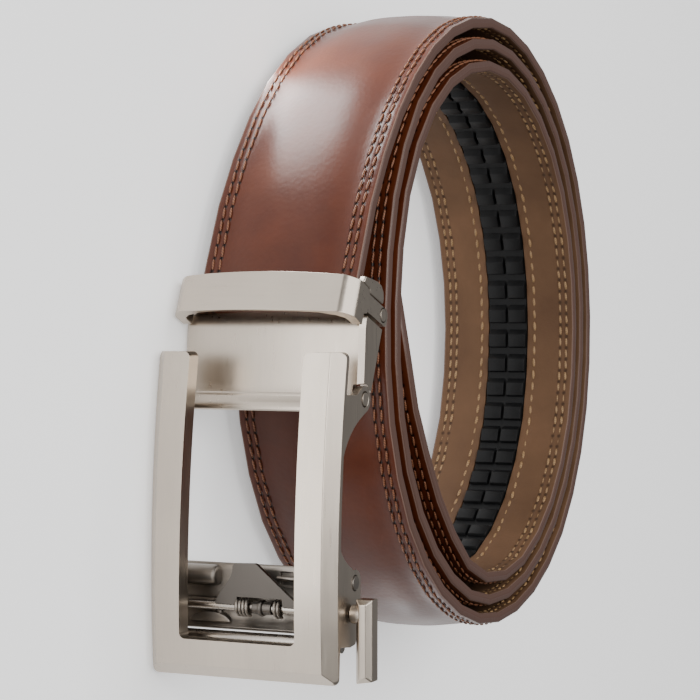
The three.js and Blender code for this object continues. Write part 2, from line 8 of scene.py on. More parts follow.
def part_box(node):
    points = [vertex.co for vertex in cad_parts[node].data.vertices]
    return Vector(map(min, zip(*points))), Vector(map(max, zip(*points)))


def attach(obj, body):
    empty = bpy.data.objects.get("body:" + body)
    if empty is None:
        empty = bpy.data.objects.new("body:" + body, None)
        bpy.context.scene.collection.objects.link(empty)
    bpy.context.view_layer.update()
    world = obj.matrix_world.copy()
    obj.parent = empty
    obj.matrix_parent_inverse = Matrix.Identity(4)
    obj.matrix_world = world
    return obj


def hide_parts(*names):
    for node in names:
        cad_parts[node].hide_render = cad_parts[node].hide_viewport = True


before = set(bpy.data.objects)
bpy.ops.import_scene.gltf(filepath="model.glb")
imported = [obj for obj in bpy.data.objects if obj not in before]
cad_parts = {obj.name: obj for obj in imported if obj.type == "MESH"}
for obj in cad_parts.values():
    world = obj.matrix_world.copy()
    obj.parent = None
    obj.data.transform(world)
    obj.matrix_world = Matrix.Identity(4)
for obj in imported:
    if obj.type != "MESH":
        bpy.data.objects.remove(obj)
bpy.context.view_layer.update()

MM = 0.001

# The belt's own drawing sizes, in millimetres. +X runs down the buckle, +Y back into the coil, +Z across.
STRAP_HALF = 17.5
LEATHER_EDGE = 1.25
LEATHER_CROWN = 2.5
LINING = 1.1
MARGIN_START = 12.9
STITCH_ROWS = (15.6, 14.0)
STITCH_PITCH = 2.9
SEAM_FROM_CLIP = 8
SEAM_FROM_TIP = 2
FACE_GROOVE = 0.14
LINING_GROOVE = 0.08
GROOVE_HALF = 0.25
THREAD_LIFT = 0.04
STRAND = 0.28
# A stitch's length as a share of its pitch, then its height and its width.
FACE_STITCH = (0.86, 0.5, 0.52)
LINING_STITCH = (0.74, 0.56, 0.7)
TRACK_STITCH = (0.74, 0.62, 0.8)
TRACK_HALF = 5.0
TRACK_ROW = 7.1
TRACK_STITCH_PITCH = 3.1
TRACK_SEAM_PAST = 5
SLOT_CLEARANCE = 0.3
TRACK_PITCH = 6.35
TRACK_TEETH = 43
TRACK_TIP = 54.0
TIP_LENGTH = 31.0
TIP_SPREAD = 1.05
# The most cuts that one subdivision makes.
BAR_CUTS = 100

COIL_RADIUS = 68.5
TURN_STEP = 5.2
EIGHTHS_TO_TIP = 24.7
COIL_SHAPE = [
    # outer turn's reach, then how far the second, third and fourth turns lie inside the last
    (1.025, 2.42, 0.97, 0.8),
    (0.962, 1.05, 1.0, 0.79),
    (0.975, 0.92, 0.96, None),
    (0.99, 1.0, 0.98, None),
    (1.0, 1.04, 1.08, None),
    (1.04, 1.04, 0.92, None),
    (1.0, 0.84, 0.92, None),
    (0.915, 0.98, 1.9, None),
]
CLIP_TILT = math.radians(23.5)
CLIP_CENTRE = (1.0, -52.9)
COIL_CENTRE = (1.0 + 0.073 * COIL_RADIUS, -52.9 + 1.057 * COIL_RADIUS)
STRAP_INTO_CLIP = 4.2
CLIP_MOUTH = 3.4
CLIP_HALF = 19.9
CHEEK = 1.5
CLAMP_PIN = (1.3, 7.85)

HINGE = (21.7, -55.6)
AXLE = (62.8, -62.2)
STUB = (57.1, -60.2)
ROLLER = (69.3, -61.7)
FRAME_HALF = 20.3
WINDOW_HALF = 12.2
FACE_HALF = 17.9
FRAME_TOP = 12.4
FRAME_FOOT = 76.0
WINDOW_FOOT = 68.5
FRAME_TOP_Y = -67.5
FRAME_FOOT_Y = -70.3
FRAME_BOW = 1.9
FRAME_THICK = 3.6
FOOT_THICK = 2.8
FACE_CHAMFER = 2.4
IN_ARM = 2.8
EAR = 2.6
FLANGE = 1.8

# How far the drawing is moved so that the belt stands on the floor over the origin.
axle_low, axle_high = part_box("release_axle")
strap_low, strap_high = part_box("strap_leather")
MOVE = Vector((
    (axle_low[0] + axle_high[0]) / 2 / MM - AXLE[0],
    (axle_low[1] + axle_high[1]) / 2 / MM - AXLE[1],
    (strap_low[2] + strap_high[2]) / 2 / MM,
))


def place(x, y, z):
    return (Vector((x, y, z)) + MOVE) * MM


# Tools of the bench
def clear_selection():
    if bpy.context.object and bpy.context.object.mode != "OBJECT":
        bpy.ops.object.mode_set(mode="OBJECT")
    bpy.ops.object.select_all(action="DESELECT")


def pick(obj):
    clear_selection()
    obj.select_set(True)
    bpy.context.view_layer.objects.active = obj


def finish_modifier(obj, kind, **settings):
    pick(obj)
    modifier = obj.modifiers.new(kind.lower(), kind)
    for key, value in settings.items():
        setattr(modifier, key, value)
    bpy.ops.object.modifier_apply(modifier=modifier.name)


def soften(obj, width, segments=2, angle=28):
    finish_modifier(
        obj, "BEVEL", width=width * MM, segments=segments, limit_method="ANGLE",
        angle_limit=math.radians(angle), use_clamp_overlap=True, miter_outer="MITER_ARC",
    )


def smooth(obj, angle):
    pick(obj)
    bpy.ops.object.shade_smooth_by_angle(angle=math.radians(angle))


def weigh(obj):
    finish_modifier(obj, "WEIGHTED_NORMAL", keep_sharp=True, weight=60)


def outward(obj):
    pick(obj)
    bpy.ops.object.mode_set(mode="EDIT")
    bpy.ops.mesh.select_all(action="SELECT")
    bpy.ops.mesh.remove_doubles(threshold=0.000002)
    bpy.ops.mesh.normals_make_consistent(inside=False)
    bpy.ops.object.mode_set(mode="OBJECT")


def merge(name, objs):
    pick(objs[0])
    for obj in objs:
        obj.select_set(True)
    bpy.ops.object.join()
    whole = bpy.context.object
    whole.name = name
    whole.data.name = name
    return whole


def ring_piece(name, points, pull):
    """A ring of points filled and pulled out into a solid."""
    clear_selection()
    bpy.ops.mesh.primitive_circle_add(vertices=len(points), radius=0.01, fill_type="NGON")
    obj = bpy.context.object
    obj.name = name
    bpy.ops.object.mode_set(mode="EDIT")
    shell = bmesh.from_edit_mesh(obj.data)
    shell.verts.ensure_lookup_table()
    for vert, point in zip(shell.verts, points):
        vert.co = point
    bmesh.update_edit_mesh(obj.data)
    bpy.ops.mesh.select_all(action="SELECT")
    bpy.ops.mesh.extrude_region_move(TRANSFORM_OT_translate={"value": pull})
    bpy.ops.mesh.select_all(action="SELECT")
    bpy.ops.mesh.normals_make_consistent(inside=False)
    bpy.ops.object.mode_set(mode="OBJECT")
    return obj


def side_shape(name, outline, low, high):
    """A side profile in X and Y, pulled across the belt from low to high."""
    return ring_piece(name, [place(x, y, low) for x, y in outline], (0, 0, (high - low) * MM))


def round_bar(name, x, y, radius, low, high, sides=40, chamfer=0.25):
    """A round bar across the belt with chamfered ends."""
    clear_selection()
    bpy.ops.mesh.primitive_cylinder_add(
        vertices=sides, radius=radius * MM, depth=(high - low) * MM, location=place(x, y, (low + high) / 2),
    )
    obj = bpy.context.object
    obj.name = name
    bpy.ops.object.transform_apply(location=True, rotation=True, scale=True)
    if chamfer:
        soften(obj, chamfer, 2, 60)
    return obj


def unite(obj, other):
    finish_modifier(obj, "BOOLEAN", operation="UNION", object=other, solver="EXACT")
    bpy.data.objects.remove(other, do_unlink=True)


def carve(obj, tool):
    finish_modifier(obj, "BOOLEAN", operation="DIFFERENCE", object=tool, solver="EXACT")
    bpy.data.objects.remove(tool, do_unlink=True)


def drill(obj, x, y, radius, low, high):
    carve(obj, round_bar("drill", x, y, radius, low, high, 32, 0))


def arc(x, y, radius, start, end, steps=14):
    """Points of a circle from one angle to another, in degrees."""
    span = math.radians(end) - math.radians(start)
    angles = [math.radians(start) + span * i / steps for i in range(steps + 1)]
    return [(x + radius * math.cos(a), y + radius * math.sin(a)) for a in angles]


def curve_points(a, b, c, d, steps=12):
    """Points of a smooth stroke from a to d, pulled by b and c."""
    points = []
    for i in range(1, steps + 1):
        t = i / steps
        s = 1 - t
        points.append(tuple(
            s ** 3 * a[k] + 3 * s * s * t * b[k] + 3 * s * t * t * c[k] + t ** 3 * d[k] for k in (0, 1)
        ))
    return points


# The coil's path
def clip_point(down, back):
    along = Vector((math.cos(CLIP_TILT), -math.sin(CLIP_TILT)))
    inward = Vector((math.sin(CLIP_TILT), math.cos(CLIP_TILT)))
    return Vector(CLIP_CENTRE) + along * down + inward * back


def coil_reaches():
    outer = [row[0] * COIL_RADIUS for row in COIL_SHAPE]
    middle = [outer[i] - row[1] * TURN_STEP for i, row in enumerate(COIL_SHAPE)]
    inner = [middle[i] - row[2] * TURN_STEP for i, row in enumerate(COIL_SHAPE)]
    innermost = [inner[i] - COIL_SHAPE[i][3] * TURN_STEP for i in (0, 1)]
    return outer + middle + inner + innermost


def eased(reaches, at):
    """The reach between the table's directions, on a smooth curve."""
    i = min(int(at), len(reaches) - 2)
    t = at - i
    p0 = reaches[max(i - 1, 0)] if i > 0 else reaches[0]
    p1, p2 = reaches[i], reaches[i + 1]
    p3 = reaches[i + 2] if i + 2 < len(reaches) else reaches[-1]
    v0, v1 = (p2 - p0) / 2, (p3 - p1) / 2
    return (2 * p1 - 2 * p2 + v0 + v1) * t ** 3 + (-3 * p1 + 3 * p2 - 2 * v0 - v1) * t ** 2 + v0 * t + p1


def seam_points():
    reaches = coil_reaches()
    knots = [clip_point(STRAP_INTO_CLIP, 0), clip_point(0, 0), clip_point(-CLIP_MOUTH, 0)]
    count = round(EIGHTHS_TO_TIP * 2)
    for knot in range(1, count + 1):
        eighths = EIGHTHS_TO_TIP * knot / count
        reach = eased(reaches, eighths)
        angle = eighths * math.pi / 4
        knots.append(Vector((
            COIL_CENTRE[0] - reach * math.sin(angle), COIL_CENTRE[1] - reach * math.cos(angle),
        )))
    ends = [knots[0] * 2 - knots[1]] + knots + [knots[-1] * 2 - knots[-2]]
    points = []
    for i in range(1, len(ends) - 2):
        p0, p1, p2, p3 = ends[i - 1:i + 3]
        d0, d1, d2 = ((b - a).length ** 0.5 for a, b in ((p0, p1), (p1, p2), (p2, p3)))
        t1 = ((p1 - p0) / d0 - (p2 - p0) / (d0 + d1) + (p2 - p1) / d1) * d1
        t2 = ((p2 - p1) / d1 - (p3 - p1) / (d1 + d2) + (p3 - p2) / d2) * d1
        steps = 16
        for k in range(steps):
            t = k / steps
            points.append(
                p1 * (2 * t ** 3 - 3 * t ** 2 + 1) + t1 * (t ** 3 - 2 * t ** 2 + t)
                + p2 * (-2 * t ** 3 + 3 * t ** 2) + t2 * (t ** 3 - t ** 2)
            )
    points.append(knots[-1])
    return points


seam = seam_points()
STRAP_LENGTH = sum((b - a).length for a, b in zip(seam, seam[1:]))


def make_path():
    data = bpy.data.curves.new("coil_path", "CURVE")
    data.dimensions = "3D"
    data.twist_mode = "Z_UP"
    spline = data.splines.new("POLY")
    spline.points.add(len(seam) - 1)
    for point, at in zip(spline.points, seam):
        point.co = (*place(at.x, at.y, 0), 1)
    path = bpy.data.objects.new("coil_path", data)
    bpy.context.collection.objects.link(path)
    return path


coil_path = make_path()


def roll_up(obj):
    """Rolls a flat piece, drawn along +X with its face up +Y, onto the coil."""
    finish_modifier(obj, "CURVE", object=coil_path, deform_axis="POS_X")


def flat_bar(name, section, start, end):
    """A section in Y and Z pulled along the flat strap and cut into even steps."""
    points = [Vector((start, y, z)) * MM for y, z in section]
    obj = ring_piece(name, points, ((end - start) * MM, 0, 0))
    pick(obj)
    bpy.ops.object.mode_set(mode="EDIT")
    bpy.ops.mesh.select_all(action="DESELECT")
    bpy.ops.mesh.select_mode(type="EDGE")
    shell = bmesh.from_edit_mesh(obj.data)
    for edge in shell.edges:
        a, b = edge.verts
        edge.select_set(abs(a.co.x - b.co.x) > (end - start) * MM * 0.9)
    bmesh.update_edit_mesh(obj.data)
    bpy.ops.mesh.subdivide(number_cuts=BAR_CUTS)
    bpy.ops.object.mode_set(mode="OBJECT")
    return obj


def lay_out(obj):
    """Keeps each point's place on the flat strap, along and across in metres, for the patterns."""
    layer = obj.data.uv_layers.new(name="flat")
    for loop in obj.data.loops:
        co = obj.data.vertices[loop.vertex_index].co
        layer.data[loop.index].uv = (co.x, co.z)


# Surfaces
def new_surface(name):
    surface = bpy.data.materials.new(name)
    surface.use_nodes = True
    nodes = surface.node_tree.nodes
    return surface, nodes, surface.node_tree.links, nodes["Principled BSDF"]


def math_node(nodes, links, kind, a, b=None):
    node = nodes.new("ShaderNodeMath")
    node.operation = kind
    for socket, value in zip(node.inputs, (a, b)):
        if value is None:
            continue
        if isinstance(value, (int, float)):
            socket.default_value = value
        else:
            links.new(value, socket)
    return node.outputs[0]


def ramp(nodes, links, source, stops):
    node = nodes.new("ShaderNodeValToRGB")
    node.color_ramp.elements[0].position, node.color_ramp.elements[0].color = stops[0]
    node.color_ramp.elements[1].position, node.color_ramp.elements[1].color = stops[-1]
    for position, colour in stops[1:-1]:
        node.color_ramp.elements.new(position).color = colour
    links.new(source, node.inputs[0])
    return node.outputs[0]


def mix(nodes, links, factor, a, b, blend="MIX"):
    node = nodes.new("ShaderNodeMix")
    node.data_type = "RGBA"
    node.blend_type = blend
    for socket, value in zip((node.inputs[0], node.inputs[6], node.inputs[7]), (factor, a, b)):
        if isinstance(value, (int, float, tuple)):
            socket.default_value = value
        else:
            links.new(value, socket)
    return node.outputs[2]


def noise(nodes, links, vector, scale, detail, rough):
    node = nodes.new("ShaderNodeTexNoise")
    node.inputs["Scale"].default_value = scale
    node.inputs["Detail"].default_value = detail
    node.inputs["Roughness"].default_value = rough
    links.new(vector, node.inputs["Vector"])
    return node.outputs["Fac"]


def stretched(nodes, links, vector, scale):
    node = nodes.new("ShaderNodeMapping")
    node.inputs["Scale"].default_value = scale
    links.new(vector, node.inputs["Vector"])
    return node.outputs[0]


def bump(nodes, links, height, distance, strength, under=None):
    node = nodes.new("ShaderNodeBump")
    node.inputs["Strength"].default_value = strength
    node.inputs["Distance"].default_value = distance
    links.new(height, node.inputs["Height"])
    if under is not None:
        links.new(under, node.inputs["Normal"])
    return node.outputs[0]


def colour(code):
    """A screen colour such as 8a5638 as the shader's own linear values."""
    parts = [int(code[i:i + 2], 16) / 255 for i in (0, 2, 4)]
    return tuple(p / 12.92 if p <= 0.04045 else ((p + 0.055) / 1.055) ** 2.4 for p in parts) + (1.0,)


def grey(value):
    return (value, value, value, 1.0)


def leather(name, base, dark, light, hole_shade, rough, grain, coat):
    """Grained leather with needle holes along its stitch rows and painted edges; the needle holes are darkened
    as painted shade, the stitch grooves are darker, and a thin painted highlight runs where the edge paint
    meets the face.
    """
    surface, nodes, links, shader = new_surface(name)
    flat = nodes.new("ShaderNodeUVMap")
    flat.uv_map = "flat"
    uv = flat.outputs[0]
    split = nodes.new("ShaderNodeSeparateXYZ")
    links.new(uv, split.inputs[0])
    along, across = split.outputs[0], split.outputs[1]
    reach = math_node(nodes, links, "ABSOLUTE", across)
    cloud = noise(nodes, links, uv, 45, 4, 0.6)
    tone = ramp(nodes, links, cloud, [(0.3, dark), (0.5, base), (0.72, light)])
    pebble = nodes.new("ShaderNodeTexVoronoi")
    pebble.feature = "SMOOTH_F1"
    pebble.inputs["Scale"].default_value = grain
    links.new(uv, pebble.inputs["Vector"])
    fine = noise(nodes, links, uv, grain * 2, 2, 0.6)
    hole = None
    groove = None
    for row in STITCH_ROWS:
        phase = math_node(nodes, links, "PINGPONG", along, STITCH_PITCH * MM / 2)
        off = math_node(nodes, links, "SUBTRACT", reach, row * MM)
        aside = math_node(nodes, links, "POWER", off, 2)
        far = math_node(nodes, links, "SQRT", math_node(nodes, links, "ADD", math_node(
            nodes, links, "POWER", phase, 2), aside))
        here = math_node(nodes, links, "MAXIMUM", math_node(
            nodes, links, "SUBTRACT", 1.0, math_node(nodes, links, "DIVIDE", far, 0.0006)), 0.0)
        line = math_node(nodes, links, "MAXIMUM", math_node(
            nodes, links, "SUBTRACT", 1.0, math_node(nodes, links, "DIVIDE", math_node(
                nodes, links, "ABSOLUTE", off), 0.0007)), 0.0)
        hole = here if hole is None else math_node(nodes, links, "MAXIMUM", hole, here)
        groove = line if groove is None else math_node(nodes, links, "MAXIMUM", groove, line)
    # Darker along the stitch grooves.
    groove_darkened = mix(nodes, links, math_node(nodes, links, "MULTIPLY", groove, 0.45), tone, dark)
    # Painted shade: the needle holes are painted darker, standing in for the shade inside them.
    deep = math_node(nodes, links, "MINIMUM", math_node(nodes, links, "MULTIPLY", hole, 1.7), 1.0)
    shade = mix(nodes, links, deep, groove_darkened, tuple(c * hole_shade for c in dark[:3]) + (1.0,))
    paint_start = (STRAP_HALF - 0.3) * MM
    rim = math_node(nodes, links, "GREATER_THAN", reach, paint_start)
    shade = mix(nodes, links, rim, shade, colour("4f3a33"))
    # Painted highlight: a thin lighter line where the edge paint meets the face stands in for the light on the
    # rounded corner.
    corner = math_node(nodes, links, "LESS_THAN", math_node(
        nodes, links, "ABSOLUTE", math_node(nodes, links, "SUBTRACT", reach, paint_start)), 0.00012)
    shade = mix(nodes, links, math_node(nodes, links, "MULTIPLY", corner, 0.6), shade, colour("806a5f"))
    links.new(shade, shader.inputs["Base Color"])
    gloss = ramp(nodes, links, cloud, [(0.3, grey(rough - 0.04)), (0.7, grey(rough + 0.06))])
    links.new(gloss, shader.inputs["Roughness"])
    shader.inputs["Specular IOR Level"].default_value = 0.22
    shader.inputs["Coat Weight"].default_value = coat
    shader.inputs["Coat Roughness"].default_value = 0.3
    low = bump(nodes, links, pebble.outputs["Distance"], 0.00008, 0.35)
    top = bump(nodes, links, fine, 0.00003, 0.35, low)
    links.new(top, shader.inputs["Normal"])
    return surface


def metal(name, base, rough, brushed, scratch=0.03, depth=0.000003):
    """Satin metal brushed along one direction, with a faint cloud in its finish."""
    surface, nodes, links, shader = new_surface(name)
    shader.inputs["Metallic"].default_value = 1.0
    coords = nodes.new("ShaderNodeTexCoord")
    where = coords.outputs["Object"]
    lines = noise(nodes, links, stretched(nodes, links, where, brushed), 1.0, 2, 0.6)
    cloud = noise(nodes, links, where, 90, 3, 0.5)
    shade = ramp(nodes, links, cloud, [(0.3, tuple(c * 0.94 for c in base[:3]) + (1,)), (0.7, base)])
    streak = ramp(nodes, links, lines, [(0.3, grey(0.7)), (0.7, grey(1.0))])
    shade = mix(nodes, links, 0.14, shade, streak, "MULTIPLY")
    links.new(shade, shader.inputs["Base Color"])
    gloss = ramp(nodes, links, lines, [(0.3, grey(rough - scratch)), (0.7, grey(rough + scratch))])
    links.new(gloss, shader.inputs["Roughness"])
    links.new(bump(nodes, links, lines, depth, 0.3), shader.inputs["Normal"])
    return surface


def thread(name, base, dark):
    """Twisted thread: slanted strands across each stitch, each painted darker towards the groove beside it as
    painted shade.
    """
    surface, nodes, links, shader = new_surface(name)
    flat = nodes.new("ShaderNodeUVMap")
    flat.uv_map = "flat"
    split = nodes.new("ShaderNodeSeparateXYZ")
    links.new(flat.outputs[0], split.inputs[0])
    slant = math_node(nodes, links, "ADD", split.outputs[0], math_node(
        nodes, links, "MULTIPLY", split.outputs[1], 0.8))
    strand = math_node(nodes, links, "PINGPONG", slant, STRAND * MM)
    strand = math_node(nodes, links, "DIVIDE", strand, STRAND * MM)
    # Painted shade: the colour darkens where the strand's height falls into the groove between strands.
    links.new(ramp(nodes, links, strand, [(0.1, dark), (0.6, base)]), shader.inputs["Base Color"])
    shader.inputs["Roughness"].default_value = 0.5
    links.new(bump(nodes, links, strand, 0.00006, 0.6), shader.inputs["Normal"])
    return surface


def plastic(name, base, light):
    surface, nodes, links, shader = new_surface(name)
    coords = nodes.new("ShaderNodeTexCoord")
    cloud = noise(nodes, links, coords.outputs["Object"], 500, 3, 0.6)
    links.new(ramp(nodes, links, cloud, [(0.3, base), (0.75, light)]), shader.inputs["Base Color"])
    shader.inputs["Roughness"].default_value = 0.5
    shader.inputs["Specular IOR Level"].default_value = 0.25
    links.new(bump(nodes, links, cloud, 0.00002, 0.3), shader.inputs["Normal"])
    return surface


strap_leather = leather(
    "strap_leather", colour("4b200e"), colour("40190a"), colour("562712"),
    hole_shade=0.15, rough=0.34, grain=1100, coat=0.1,
)
lining_leather = leather(
    "lining_leather", colour("604631"), colour("573e2b"), colour("6b4e38"),
    hole_shade=0.55, rough=0.6, grain=1500, coat=0.0,
)
orange_thread = thread("orange_thread", colour("7e4d30"), colour("4f2f1d"))
khaki_thread = thread("khaki_thread", colour("9a7a52"), colour("705536"))
track_plastic = plastic("track_plastic", colour("060607"), colour("0e0f10"))
satin = metal("satin_metal", colour("bdb2a5"), 0.3, (70, 1300, 1300))
satin_across = metal("satin_metal_across", colour("bdb2a5"), 0.3, (1300, 1300, 70))
steel = metal("polished_steel", colour("a8a199"), 0.26, (500, 500, 500))
scuffed = metal("scuffed_steel", colour("8f8880"), 0.38, (700, 700, 120), scratch=0.08, depth=0.00002)
dark_steel = metal("pawl_steel", colour("5e5954"), 0.34, (70, 1300, 1300))


def dress(obj, surface, body, slot, *nodes):
    obj.data.materials.clear()
    obj.data.materials.append(surface)
    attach(obj, body)
    if nodes:
        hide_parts(*nodes)


# Strap
def tip_half(x):
    """Half the strap's width at a place along it: full, then a rounded point."""
    left = STRAP_LENGTH - x
    if left >= TIP_LENGTH:
        return STRAP_HALF
    share = (1 - max(left, 0) / TIP_LENGTH) / TIP_SPREAD
    round_off = 1 - min(max(left, 0) / 3.5, 1)
    return max(STRAP_HALF * (1 - share * share) * math.sqrt(1 - round_off * round_off), 0.2)


def into_tip(x, y, z):
    """A point of the straight strap as it lies on the pointed one. The margin keeps its width."""
    half = tip_half(x)
    if half >= STRAP_HALF:
        return y, z
    full = STRAP_HALF - MARGIN_START
    margin = min(full, half * 0.98)
    middle = (half - margin) / MARGIN_START
    if abs(z) >= MARGIN_START:
        across = half - (STRAP_HALF - abs(z)) * margin / full
    else:
        across = abs(z) * middle
    if y > LEATHER_EDGE:
        y = LEATHER_EDGE + (y - LEATHER_EDGE) * middle
    return y, math.copysign(across, z)


def shape_tip(obj):
    pick(obj)
    bpy.ops.object.mode_set(mode="EDIT")
    shell = bmesh.from_edit_mesh(obj.data)
    for vert in shell.verts:
        x, y, z = vert.co / MM
        y, z = into_tip(x, y, z)
        vert.co.y, vert.co.z = y * MM, z * MM
    bmesh.update_edit_mesh(obj.data)
    bpy.ops.object.mode_set(mode="OBJECT")


def crowd_tip(obj):
    """Draws the last cross-sections closer together towards the point."""
    pick(obj)
    bpy.ops.object.mode_set(mode="EDIT")
    shell = bmesh.from_edit_mesh(obj.data)
    for vert in shell.verts:
        left = STRAP_LENGTH - vert.co.x / MM
        if left < TIP_LENGTH:
            vert.co.x = (STRAP_LENGTH - TIP_LENGTH * (max(left, 0) / TIP_LENGTH) ** 1.6) * MM
    bmesh.update_edit_mesh(obj.data)
    bpy.ops.object.mode_set(mode="OBJECT")


def crown_height(z):
    """Height of the leather's face over its seam, at a place across the strap."""
    z = abs(z)
    if z >= MARGIN_START:
        return LEATHER_EDGE
    share = 1 - (z / MARGIN_START) ** 2
    rise = share * share * (3 - 2 * share)
    return LEATHER_EDGE + (LEATHER_CROWN - LEATHER_EDGE) * (0.35 * share + 0.65 * rise)


def margin_rows():
    """Places across the stitched margin, with a groove's two sides and its floor at each row."""
    outer, inner = STITCH_ROWS
    return [
        inner - GROOVE_HALF, inner, inner + GROOVE_HALF, (inner + outer) / 2,
        outer - GROOVE_HALF, outer, outer + GROOVE_HALF, STRAP_HALF - 1.1,
    ]


def whole_section(face, outside, round_over):
    """Half a section, from the middle to the edge that it rounds over, and its mirror image."""
    down = math.copysign(round_over, outside)
    upper = face + [
        (outside, STRAP_HALF - round_over),
        (outside - down * 0.3, STRAP_HALF - round_over * 0.3),
        (outside - down, STRAP_HALF),
        (0.0, STRAP_HALF),
    ]
    return upper + [(y, -z) for y, z in reversed(upper) if z]


def leather_section():
    rows = [MARGIN_START * i / 12 for i in range(13)] + [13.4] + margin_rows()
    face = [(crown_height(z) - (FACE_GROOVE if z in STITCH_ROWS else 0), z) for z in rows]
    return whole_section(face, LEATHER_EDGE, 0.4)


def lining_section():
    rows = [0.0, TRACK_ROW - 0.5, TRACK_ROW, TRACK_ROW + 0.5, 9.0, 11.0, 13.0] + margin_rows()
    sewn = (TRACK_ROW, *STITCH_ROWS)
    face = [(-LINING + (LINING_GROOVE if z in sewn else 0), z) for z in rows]
    return whole_section(face, -LINING, 0.3)


leather_face = flat_bar("strap_leather_face", leather_section(), 0, STRAP_LENGTH)
outward(leather_face)
crowd_tip(leather_face)
lay_out(leather_face)
shape_tip(leather_face)
roll_up(leather_face)
smooth(leather_face, 50)
dress(leather_face, strap_leather, "strap", "leather_face", "strap_leather")

TRACK_END = STRAP_LENGTH - TRACK_TIP
TRACK_START = TRACK_END - TRACK_TEETH * TRACK_PITCH
lining_sheet = flat_bar("strap_lining_sheet", lining_section(), 0, STRAP_LENGTH)
outward(lining_sheet)
crowd_tip(lining_sheet)
slot_start, slot_end = TRACK_START - SLOT_CLEARANCE, TRACK_END + SLOT_CLEARANCE
slot_half = TRACK_HALF + SLOT_CLEARANCE
slot_corners = [
    (slot_start, -slot_half), (slot_end, -slot_half), (slot_end, slot_half), (slot_start, slot_half),
]
carve(lining_sheet, ring_piece(
    "slot_tool", [Vector((x, -3, z)) * MM for x, z in slot_corners], (0, 6 * MM, 0),
))
lay_out(lining_sheet)
shape_tip(lining_sheet)
roll_up(lining_sheet)
smooth(lining_sheet, 50)
dress(lining_sheet, lining_leather, "strap", "leather_lining", "strap_lining")


def stitch_row(height, z, start, end, pitch, tilt, size):
    """One stitch, rounded and sunk at both ends, and copied along its row."""
    clear_selection()
    bpy.ops.mesh.primitive_uv_sphere_add(segments=8, ring_count=7, radius=0.5)
    obj = bpy.context.object
    bpy.ops.object.mode_set(mode="EDIT")
    bpy.ops.mesh.select_all(action="SELECT")
    bpy.ops.transform.rotate(value=math.radians(90), orient_axis="Y", center_override=(0, 0, 0))
    bpy.ops.transform.resize(value=(pitch * size[0] * MM, size[1] * MM, size[2] * MM))
    bpy.ops.transform.rotate(value=math.radians(tilt), orient_axis="Y", center_override=(0, 0, 0))
    bpy.ops.transform.translate(value=((start + pitch / 2) * MM, height * MM, z * MM))
    bpy.ops.object.mode_set(mode="OBJECT")
    finish_modifier(
        obj, "ARRAY", count=int((end - start) / pitch), use_relative_offset=False,
        use_constant_offset=True, constant_offset_displace=(pitch * MM, 0, 0),
    )
    return obj


def seam_threads(name, height, rows, start, end, pitch, size, surface, slot):
    threads = [
        stitch_row(height, side * row, start, end, pitch, 5 * side, size)
        for row in rows for side in (-1, 1)
    ]
    whole = merge(name, threads)
    lay_out(whole)
    shape_tip(whole)
    roll_up(whole)
    pick(whole)
    bpy.ops.object.shade_smooth()
    dress(whole, surface, "strap", slot)


first_stitch = math.ceil(SEAM_FROM_CLIP / STITCH_PITCH) * STITCH_PITCH
last_stitch = STRAP_LENGTH - SEAM_FROM_TIP
seam_threads(
    "face_stitches", LEATHER_EDGE + THREAD_LIFT, STITCH_ROWS, first_stitch, last_stitch,
    STITCH_PITCH, FACE_STITCH, orange_thread, "leather_face",
)
seam_threads(
    "lining_stitches", -LINING - THREAD_LIFT, STITCH_ROWS, first_stitch, last_stitch,
    STITCH_PITCH, LINING_STITCH, khaki_thread, "leather_lining",
)
seam_threads(
    "track_stitches", -LINING - THREAD_LIFT, (TRACK_ROW,), TRACK_START - TRACK_SEAM_PAST,
    TRACK_END + TRACK_SEAM_PAST, TRACK_STITCH_PITCH, TRACK_STITCH, khaki_thread, "leather_lining",
)


# Ratchet track
def track_tooth(side):
    """One tooth of one column: a block with a sloped ledge in front, its edges softened."""
    pitch = TRACK_PITCH
    floor, crest = -1.1, -2.35
    near, far = (0.35, TRACK_HALF - 0.15)
    outline = [
        (0.15, floor + 0.3), (0.45, floor), (0.3 * pitch, crest), (0.8 * pitch, crest + 0.35),
        (0.86 * pitch, floor + 0.3),
    ]
    points = [Vector((TRACK_START + x, y, min(side * near, side * far))) * MM for x, y in outline]
    obj = ring_piece("tooth", points, (0, 0, (far - near) * MM))
    soften(obj, 0.16, 2)
    finish_modifier(
        obj, "ARRAY", count=TRACK_TEETH, use_relative_offset=False,
        use_constant_offset=True, constant_offset_displace=(pitch * MM, 0, 0),
    )
    return obj


track_base = flat_bar(
    "track_base",
    [(-1.2, -TRACK_HALF), (-1.2, TRACK_HALF), (-0.25, TRACK_HALF), (-0.25, -TRACK_HALF)],
    TRACK_START, TRACK_END,
)
track = merge("ratchet_teeth", [track_base, track_tooth(-1), track_tooth(1)])
roll_up(track)
smooth(track, 30)
dress(track, track_plastic, "strap", "track_plastic", "ratchet_track")


# Buckle frame
def in_drawing(vert):
    return vert.co / MM - MOVE


def bevel_where(obj, width, segments, wanted):
    """Bevels the edges that a test on their two ends, in the drawing's frame, picks out."""
    pick(obj)
    bpy.ops.object.mode_set(mode="EDIT")
    bpy.ops.mesh.select_mode(type="EDGE")
    bpy.ops.mesh.select_all(action="DESELECT")
    shell = bmesh.from_edit_mesh(obj.data)
    for edge in shell.edges:
        a, b = (in_drawing(vert) for vert in edge.verts)
        edge.select_set(bool(wanted(a, b, edge)))
    bmesh.update_edit_mesh(obj.data)
    bpy.ops.mesh.bevel(offset=width * MM, segments=segments, affect="EDGES", clamp_overlap=True)
    bpy.ops.object.mode_set(mode="OBJECT")


def slice_at(obj, stations):
    """Divides a piece at places down the buckle."""
    pick(obj)
    bpy.ops.object.mode_set(mode="EDIT")
    for x in stations:
        bpy.ops.mesh.select_all(action="SELECT")
        bpy.ops.mesh.bisect(plane_co=place(x, 0, 0), plane_no=(1, 0, 0))
    bpy.ops.object.mode_set(mode="OBJECT")


